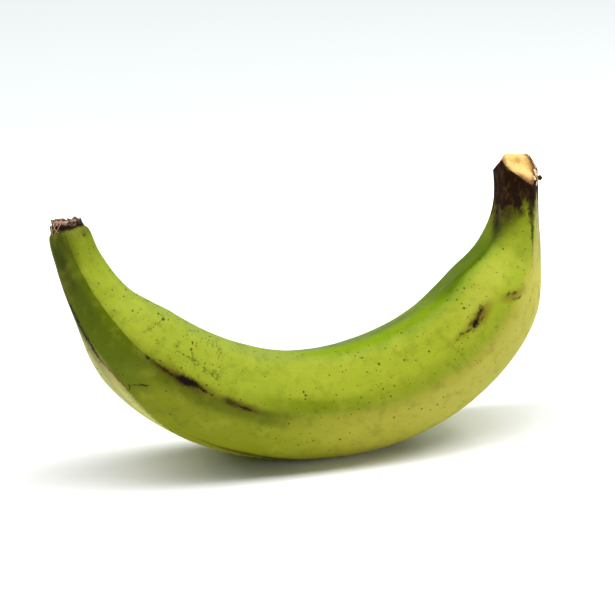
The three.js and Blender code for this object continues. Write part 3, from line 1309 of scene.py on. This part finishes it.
@dataclass
class TornSkin:
    """Scraps of skin and flesh left on the cut's edge, and a dried bead on its side.

    Attributes:
        stem: The stem that they stand on.
        flaps: Angle, width in degrees and height of each scrap.
        bead_angle: Where round the stem the bead is.
        bead_drop: How far under the cut it is.
        bead_size: Its half sizes along x, y and z.
        seed: Where the ragged edges come from.
    """

    stem: StemEnd
    flaps: Sequence[tuple[float, float, float]] = (
        (-50, 22, 1.2),
        (-68, 26, 1.9),
        (-88, 24, 2.0),
        (-106, 22, 1.3),
    )
    bead_angle: float = -80.0
    bead_drop: float = 2.6
    bead_size: tuple[float, float, float] = (1.1, 0.95, 1.05)
    seed: int = 4

    def build(self, scraps: bpy.types.Material, bead: bpy.types.Material) -> None:
        """Make both pieces.

        Args:
            scraps: Finish of the scraps.
            bead: Finish of the bead.
        """
        draw = random.Random(self.seed)
        shells = [self._flap(*flap, draw) for flap in self.flaps]
        build_shells("stem_torn_skin", shells, scraps)
        build_shells("stem_bead", [self._bead()], bead)

    def _flap(self, angle: float, wide: float, tall: float, draw: random.Random) -> Loft:
        """One scrap: a thin closed blade with a ragged top.

        Args:
            angle: Where it stands on the rim.
            wide: Its width in degrees.
            tall: Its height above the rim.
            draw: Where its ragged edge comes from.

        Returns:
            Its skin.
        """
        rings = []
        skew = draw.uniform(-3, 3)
        for t in np.linspace(0, 1, 9):
            half = wide / 2 * (1 - 0.62 * t**1.5) * draw.uniform(0.8, 1.15)
            thick = 0.055 * (1 - 0.5 * t)
            around = angle + skew * t + half * np.array([-1, -0.4, 0.4, 1, 0.4, -0.4])
            inset = 0.05 + 0.10 * t * t + thick * np.array([0, -1, -1, 0, 1, 1])
            lift = tall * t - 0.9 + 0.12 * np.array([0, 1, -1, 0, -1, 1])
            rings.append(self.stem.level(around, inset, lift))
        return Loft.capped(rings)

    def _bead(self) -> Loft:
        """Shape the bead, a small lump that sticks out of the side just under the cut.

        Returns:
            Its skin.
        """
        place = (np.array(value) for value in (self.bead_angle, -0.06, -self.bead_drop))
        centre = self.stem.level(*place)
        turn = np.linspace(0, 2 * math.pi, 18, endpoint=False)
        rings = []
        for t in np.linspace(0.12, 0.88, 9) * math.pi:
            ring = np.stack(
                [-np.cos(t) + 0 * turn, np.sin(t) * np.sin(turn), np.sin(t) * np.cos(turn)], -1
            )
            rings.append(centre + ring * np.array(self.bead_size))
        lumps = 0.22 * fractal(np.array(rings), 0.9, 3, 9)
        return Loft.capped(np.array(rings) + lumps[..., None])


@dataclass
class Peel:
    """The peel: the whole outer skin from the scar to the cut, as one closed mesh.

    Attributes:
        form: The fruit's form.
        stem: The cut that the peel ends at.
        sides: Points round each ring.
        body_step: Distance between rings along the body.
        scar_share: Where the peel starts, as a share of the length.
        crest: How far each ridge stands up from the plain form.
        crest_width: How wide its crest is.
        dent: How deep the larger bruises sink.
    """

    form: FruitForm
    stem: StemEnd
    sides: int = 208
    body_step: float = 0.78
    scar_share: float = 0.005
    crest: Drift = Drift(0.30, 0.16, 0.32)
    crest_width: float = 1.5
    dent: float = 0.28

    def shares(self) -> np.ndarray:
        """Space the rings, closer together at both ends.

        Returns:
            Shares of the length.
        """
        fine = np.linspace(self.scar_share, 1.0, 4001)
        crowding = 1 + 2.2 * (1 - smoothstep(fine, 0.012, 0.05)) + 0.8 * smoothstep(fine, 0.9, 0.97)
        walked = np.concatenate([[0.0], np.cumsum((crowding[1:] + crowding[:-1]) / 2)])
        count = int(walked[-1] / walked.shape[0] * self.form.length / self.body_step)
        return np.interp(np.linspace(0, walked[-1], count), walked, fine)

    def relief(self, share: np.ndarray, angle: np.ndarray) -> np.ndarray:
        """What the real peel adds to the plain form.

        Args:
            share: Shares of the length.
            angle: Angles round the section.

        Returns:
            Heights in millimetres outwards.
        """
        form = self.form
        spots = form.unbent(share, angle)
        lift = 0.16 * fractal(spots, 48, 2, 1) + 0.09 * fractal(spots, 9, 3, 2)
        around = np.radians(1) * form.girth_at(share)
        for ridge in Ridge:
            off = (angle - ridge.value.at(share) + 180) % 360 - 180
            lift += self.crest.at(share) * np.exp(-((off * around / self.crest_width) ** 2))
        drying = smoothstep(share, 0.92, 0.975)
        creases = fractal(spots * np.array([0.07, 1.0, 1.0]), 2.0, 3, 3)
        lift += drying * (0.26 * creases - 0.15)
        pucker = 1 - smoothstep(share, 0.012, 0.04)
        lift += pucker * 0.35 * fractal(spots * np.array([0.25, 1.0, 1.0]), 2.6, 3, 4)
        for mark in MARKS:
            if mark.kind is MarkKind.BRUISE and mark.width > 2:
                lift -= self.dent * mark.strength * self._dent_by(mark, share, angle)
        return lift

    def _dent_by(self, mark: Mark, share: np.ndarray, angle: np.ndarray) -> np.ndarray:
        """How much a mark dents the peel.

        Args:
            mark: The mark.
            share: Shares of the length.
            angle: Angles round the section.

        Returns:
            1 in its middle, fading to 0 away from it.
        """
        a, b = (laid_flat(self.form, *place) for place in (mark.start, mark.end))
        around = np.radians(self.form.turn(share, angle)) * self.form.girth_at(share)
        flat = np.stack([share * self.form.length, around], -1)
        along = (b - a) / max(np.linalg.norm(b - a), 1e-6)
        off = flat - (a + b) / 2
        reach = np.linalg.norm(b - a) / 2 + mark.width / 2
        down, side = off @ along, off @ np.array([-along[1], along[0]])
        return np.exp(-((down / reach) ** 2 + (side / (mark.width * 0.6)) ** 2))

    def build(self, finish: PeelFinish) -> bpy.types.Object:
        """Make the peel, which stands for the CAD solid.

        Args:
            finish: Its finish.

        Returns:
            The piece.
        """
        form = self.form
        columns = -180 + 360 * np.arange(self.sides + 1) / self.sides
        base, angle = np.meshgrid(self.shares(), columns, indexing="ij")
        to_cut = self.stem.rim_height(columns) / form.length
        share = base + to_cut * np.clip((base - 0.9) / 0.1, 0, 1) ** 1.6
        near_scar = np.clip((0.05 - base) / (0.05 - self.scar_share), 0, 1) ** 1.4
        share = share - form.scar_rise(columns) / form.length * near_scar
        lift = self.relief(share[:, :-1], angle[:, :-1])
        radius = form.radius(share[:, :-1], angle[:, :-1]) + lift
        skin = form.place(share[:, :-1], angle[:, :-1], radius)

        scar_floor = skin[0] + 0.75 * (skin[0].mean(0) - skin[0])
        around = columns[:-1]
        rim = []
        edge = self.stem.rim_share
        bent = skin[-1] - self.stem.level(around, 0 * around, 0 * around)
        for inset, height in ((edge * 0.35, 0.12), (edge, 0.0), (edge * 1.25, -self.stem.sink)):
            flat = self.stem.level(around, 0 * around + inset, 0 * around + height)
            rim.append(flat + bent * max(0.0, 1 - inset / edge))
        rings = np.array([scar_floor, *skin, *rim])
        rings[..., 2] = np.maximum(rings[..., 2], 0.0)
        loft = Loft.capped(rings)
        piece = make_piece("peel", loft.points(), loft.faces(), finish.material(form))
        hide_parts(NODE)

        share_all = np.vstack([share[:1], share, *[share[-1:]] * len(rim)])
        angle_all = np.vstack([angle[:1], angle, *[angle[-1:]] * len(rim)])
        turn_all = form.turn(share_all, angle_all)
        values = np.stack([share_all, turn_all, form.girth_at(share_all)], -1)
        add_values(piece.data, "peel_map", "CORNER", loft.corner_values(values))
        unbent = form.unbent(share_all[:, :-1], angle_all[:, :-1]).reshape(-1, 3)
        ends = [unbent[: self.sides].mean(0), unbent[-self.sides :].mean(0)]
        add_values(piece.data, "unbent", "POINT", np.vstack([unbent, *ends]))
        return piece


@dataclass
class Blossom:
    """What is left of the flower: a ragged ring of dried crust, with flakes and threads.

    Attributes:
        form: The fruit's form.
        radius: The crust's outer radius.
        offset: How far the crust sits off the axis, towards the inside of the curve.
        sunk: How far it sits down into the peel's shoulder.
        sides: Points round each ring.
        foot: Height of its hidden underside, out from the centreline's start.
        seed: Where the random draws start.
        threads: Angles where each thread starts and ends.
    """

    form: FruitForm
    radius: float = 5.8
    offset: float = 0.5
    sunk: float = 0.6
    sides: int = 120
    foot: float = -2.2
    seed: int = 11
    threads: Sequence[tuple[float, float]] = ((-62, -38), (-44, -66), (-30, -52), (-70, -58))

    def place(self, angle: np.ndarray, radius: np.ndarray, height: np.ndarray) -> np.ndarray:
        """Find places on the blossom scar.

        Args:
            angle: Angles round the tip.
            radius: Distances from its axis.
            height: Heights out past its end.

        Returns:
            Places in millimetres, in the part's frame.
        """
        out = np.asarray(height) + self.form.scar_rise(angle) - self.sunk
        share = 0 * angle - out / self.form.length
        shape = self.form.profile(np.zeros_like(angle), angle) ** 0.6
        _, _, inside = self.form.axes(share)
        return self.form.place(share, angle, radius * shape) + self.offset * inside

    def build_crust(self, material: bpy.types.Material) -> bpy.types.Object:
        """Make the ring of crust, with a hollow and lumpy middle.

        Args:
            material: Its finish.

        Returns:
            The piece.
        """
        angle = np.linspace(0, 360, self.sides, endpoint=False)
        turn = np.radians(angle)
        circle = np.stack([np.cos(turn), np.sin(turn), 0 * turn], -1)
        ragged = fractal(circle * self.radius, 3.0, 4, 7)
        top = 1.0 + 0.9 * ragged
        # Height, None for the ragged top, and share of the radius.
        profile = (
            (self.foot, 0.3),
            (self.foot, 0.92),
            (-1.3, 1.04),
            (-0.6, 1.0),
            (0.0, 1.0),
            (None, 0.97),
            (None, 0.86),
            (-0.2, 0.74),
            (-0.9, 0.55),
            (-0.7, 0.28),
            (-0.3, 0.08),
        )
        rings = []
        for step, (height, reach) in enumerate(profile):
            level = top if height is None else np.full_like(angle, height)
            spots = self.place(angle, np.full_like(angle, self.radius * reach), level)
            crumpled = 0.0 if step < 2 else 0.5
            shake = crumpled * fractal(spots, 2.2, 3, 8)
            radius = self.radius * reach * (1 + 0.09 * ragged * reach) + shake * 0.7
            rings.append(self.place(angle, radius, level + shake * 0.8))
        loft = Loft.capped(rings)
        faces = [face[::-1] for face in loft.faces()]
        return make_piece("blossom_crust", loft.points(), faces, material)

    def build_flakes(self, material: bpy.types.Material) -> bpy.types.Object:
        """Make the torn flakes that stand up from the crust.

        Args:
            material: Their finish.

        Returns:
            The piece.
        """
        draw = random.Random(self.seed)
        shells = []
        for middle in range(0, 360, 36):
            angle = middle + draw.uniform(-12, 12)
            tall = draw.uniform(0.5, 1.5)
            wide = draw.uniform(14, 34)
            lean = draw.uniform(-1.2, 0.3)
            shells.append(self._flake(angle, tall, wide, lean, draw))
        return build_shells("blossom_flakes", shells, material)

    def _flake(
        self, angle: float, tall: float, wide: float, lean: float, draw: random.Random
    ) -> Loft:
        """One curled flake, a thin closed blade.

        Args:
            angle: Where round the crust it stands.
            tall: Its height.
            wide: Its width at the foot, in degrees.
            lean: How far its top leans out.
            draw: Where its ragged edge comes from.

        Returns:
            Its skin.
        """
        rings = []
        skew = draw.uniform(-0.6, 0.6) * wide
        for t in np.linspace(0, 1, 7):
            half = wide / 2 * (1 - 0.6 * t**1.8) * draw.uniform(0.8, 1.15)
            thick = 0.34 * (1 - 0.5 * t)
            middle = angle + skew * t
            out = self.radius * 0.86 + lean * t**1.5
            ring_angle = np.array([-1, -0.4, 0.4, 1, 0.4, -0.4]) * half + middle
            ring_radius = out + np.array([0, 1, 1, 0, -1, -1]) * thick
            height = np.full(6, 0.2 + tall * t) + np.array([0, 1, -1, 0, -1, 1]) * 0.12
            rings.append(self.place(ring_angle, ring_radius, height))
        return Loft.capped(rings)

    def build_threads(self, material: bpy.types.Material) -> bpy.types.Object:
        """Make the pale dry threads that hang over the shoulder at the front.

        Args:
            material: Their finish.

        Returns:
            The piece.
        """
        draw = random.Random(self.seed + 1)
        turn = np.linspace(0, 2 * math.pi, 6, endpoint=False)[:, None]
        circle = np.cos(turn) * self.form.front + np.sin(turn) * self.form.across
        shells = []
        for index, (start, end) in enumerate(self.threads):
            rings = []
            for t in np.linspace(0, 1, 9):
                angle = np.array(start + (end - start) * t + draw.uniform(-1, 1))
                height = 0.1 - (3.4 + index * 0.3) * t
                bulge = self.radius + 0.4 + 2.4 * t**0.8
                centre = self.place(angle, np.array(bulge), np.array(height))
                rings.append(centre + 0.17 * (1 - 0.5 * t) * circle)
            shells.append(Loft.capped(rings))
        return build_shells("blossom_threads", shells, material)


# ------------------------------------------------------------------ studio


@dataclass(frozen=True)
class SoftLight:
    """One rectangular area light that faces the fruit.

    Attributes:
        name: The light's name.
        place: Where it hangs, in metres.
        across: The direction that its first side runs in, as near as it can.
        size: Its two sides, in metres.
        power: Watts.
    """

    name: str
    place: tuple[float, float, float]
    across: tuple[float, float, float]
    size: tuple[float, float]
    power: float

    def hang(self) -> None:
        """Add the light, with its first side along the direction asked for."""
        light = bpy.data.lights.new(self.name, "AREA")
        light.shape = "RECTANGLE"
        light.size, light.size_y = self.size
        light.energy = self.power
        lamp = bpy.data.objects.new(self.name, light)
        lamp.location = self.place
        away, across = Vector(self.place).normalized(), Vector(self.across)
        across = (across - away * away.dot(across)).normalized()
        lamp.rotation_euler = Matrix((across, away.cross(across), away)).transposed().to_euler()
        bpy.context.scene.collection.objects.link(lamp)


@dataclass
class Studio:
    """The plain pale floor, the pale room with its three soft lights, and the camera.

    Attributes:
        form: The fruit's form, which the camera looks at.
        elevation: How far above level the camera is.
        azimuth: How far round it is, from the front towards the stem end.
        distance: How far away it is, in millimetres.
        lens: Its focal length, on a film 36 mm wide.
        floor_radius: The floor's radius in millimetres.
        floor_drop: How far under the fruit it lies.
        floor_near: The floor's colour round the fruit.
        floor_far: Its colour in the distance.
        near_glow: What it gives off nearer than the distance, but clear of the fruit's shadow.
        far_glow: What it gives off in the distance.
        room: Strength of the room's own light.
        lights: The lights that hang in it.
    """

    form: FruitForm
    elevation: float = 20.0
    azimuth: float = -18.0
    distance: float = 700.0
    lens: float = 100.0
    floor_radius: float = 3000.0
    floor_drop: float = 0.05
    floor_near: Colour = (0.93, 0.93, 0.93)
    floor_far: Colour = (0.20, 0.20, 0.20)
    near_glow: Colour = (0.45, 0.45, 0.45)
    far_glow: Colour = (0.79, 0.83, 0.84)
    room: float = 0.06
    lights: Sequence[SoftLight] = (
        SoftLight("overhead", (-0.14, 0.06, 0.90), (1, -0.14, 0), (2.3, 0.30), 18.0),
        SoftLight("side", (0.80, -0.50, 0.20), (0.5, 0.8, 0), (0.7, 0.3), 2.3),
        SoftLight("far_side", (0.70, 0.15, 0.58), (0, 1, 0), (0.5, 0.5), 4.2),
    )

    def build(self) -> None:
        """Set up everything round the fruit."""
        self._floor()
        self._lights()
        self._camera()
        scene = bpy.context.scene
        scene.view_settings.view_transform = "Standard"

    def _floor(self) -> None:
        """Lay the floor just under the fruit."""
        turn = np.linspace(0, 2 * math.pi, 96, endpoint=False)
        points = np.stack([np.cos(turn), np.sin(turn), 0 * turn], -1) * self.floor_radius
        points[:, 2] = -self.floor_drop
        mesh = bpy.data.meshes.new("floor")
        mesh.from_pydata((points * MM).tolist(), [], [tuple(range(len(points)))])
        g = Graph("floor")
        place = g.node("ShaderNodeTexCoord", None, None, "Object")
        away = g.node("ShaderNodeVectorMath", {"operation": "LENGTH"}, {0: place}, "Value")
        far = away.step(0.52, 0.58)
        lit = g.mix(away.step(0.15, 0.5), (0.0, 0.0, 0.0), self.near_glow)
        shade = {
            "Base Color": g.mix(far, self.floor_near, self.floor_far),
            "Emission Color": g.mix(far, lit, self.far_glow),
        }
        constants = {"Roughness": 1.0, "Specular IOR Level": 0.0, "Emission Strength": 1.0}
        g.finish(constants, shade)
        mesh.materials.append(g.material)
        floor = bpy.data.objects.new("floor", mesh)
        bpy.context.scene.collection.objects.link(floor)

    def _lights(self) -> None:
        """Fill the room with pale light and hang its lights."""
        world = bpy.data.worlds.new("room")
        bpy.context.scene.world = world
        world.use_nodes = True
        background = world.node_tree.nodes["Background"]
        background.inputs["Color"].default_value = (0.95, 0.98, 1.0, 1.0)
        background.inputs["Strength"].default_value = self.room
        for light in self.lights:
            light.hang()

    def _camera(self) -> None:
        """Aim the camera at the middle of the curve, from the front and above."""
        turn, rise = math.radians(self.azimuth), math.radians(self.elevation)
        back = Vector(
            (math.sin(turn) * math.cos(rise), -math.cos(turn) * math.cos(rise), math.sin(rise))
        )
        data = bpy.data.cameras.new("camera")
        data.lens = self.lens
        data.sensor_width = 36.0
        camera = bpy.data.objects.new("camera", data)
        camera.location = Vector(self.form.origin * MM) + back * self.distance * MM
        camera.rotation_euler = back.to_track_quat("Z", "Y").to_euler()
        bpy.context.scene.collection.objects.link(camera)
        bpy.context.scene.camera = camera


def main() -> None:
    """Build the fruit and the studio round it."""
    logging.basicConfig(level=logging.INFO, format="%(name)s: %(message)s")
    form = FruitForm()
    log.info("origin %s", form.origin)
    Studio(form).build()
    stem = StemEnd(form)
    Peel(form, stem).build(PeelFinish())
    stem.build_face(CutFinish().material())
    scraps = DriedFinish(
        "torn_skin", middle=srgb(132, 92, 50), tan=srgb(226, 198, 146), lightness=0.6
    )
    bead = DriedFinish("stem_bead", middle=srgb(58, 36, 18), tan=srgb(120, 84, 50), lightness=0.42)
    TornSkin(stem).build(scraps.material(), bead.material())
    blossom = Blossom(form)
    dried = DriedFinish().material()
    blossom.build_crust(dried)
    blossom.build_flakes(dried)
    blossom.build_threads(DriedFinish("dry_threads", lightness=0.72).material())


if __name__ == "__main__":
    main()
